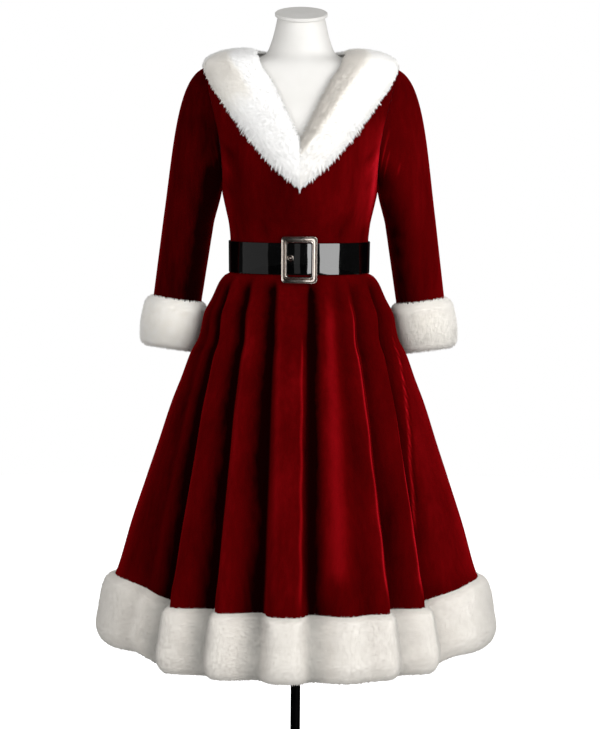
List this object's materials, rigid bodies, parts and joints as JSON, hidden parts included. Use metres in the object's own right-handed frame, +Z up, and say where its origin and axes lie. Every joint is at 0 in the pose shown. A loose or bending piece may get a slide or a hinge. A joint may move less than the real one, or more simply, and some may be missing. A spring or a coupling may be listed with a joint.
{
  "type": "christmas costume dress on a dress form",
  "caption": "Flared red velvet costume dress with white fur collar, cuffs and hem and a wide buckled belt, worn by a white dress form on a pole and round base.",
  "frame": {"origin": "centre of the round base's flat underside, under the pole", "axes": "+Z up along the pole, front of the dress and its buckle towards -Y, +X to the viewer's right"},
  "size_m": [0.7027, 0.6927, 1.4757],
  "materials": {
    "red_velvet": "deep red velvet, soft short nap with a sheen along the folds",
    "white_fur": "warm white plush faux fur, long on the collar and short on cuffs and hem",
    "patent_black": "black patent, mirror gloss",
    "polished_nickel": "polished, slightly warm",
    "form_white": "smooth satin white",
    "black_paint": "satin black"
  },
  "bodies": {
    "root": {"bodice_front": "red_velvet", "bodice_back": "red_velvet", "sleeve_left": "red_velvet", "sleeve_right": "red_velvet", "skirt_front": "red_velvet", "skirt_back": "red_velvet", "collar_left": "white_fur", "collar_right": "white_fur", "cuff_left": "white_fur", "cuff_right": "white_fur", "hem_front": "white_fur", "hem_back": "white_fur", "belt": "patent_black", "buckle_frame": "polished_nickel", "eyelet": "polished_nickel", "peg": "polished_nickel", "form_body": "form_white", "form_neck_cap": "form_white", "stand_pole": "black_paint", "stand_base": "black_paint"}
  },
  "joints": []
}
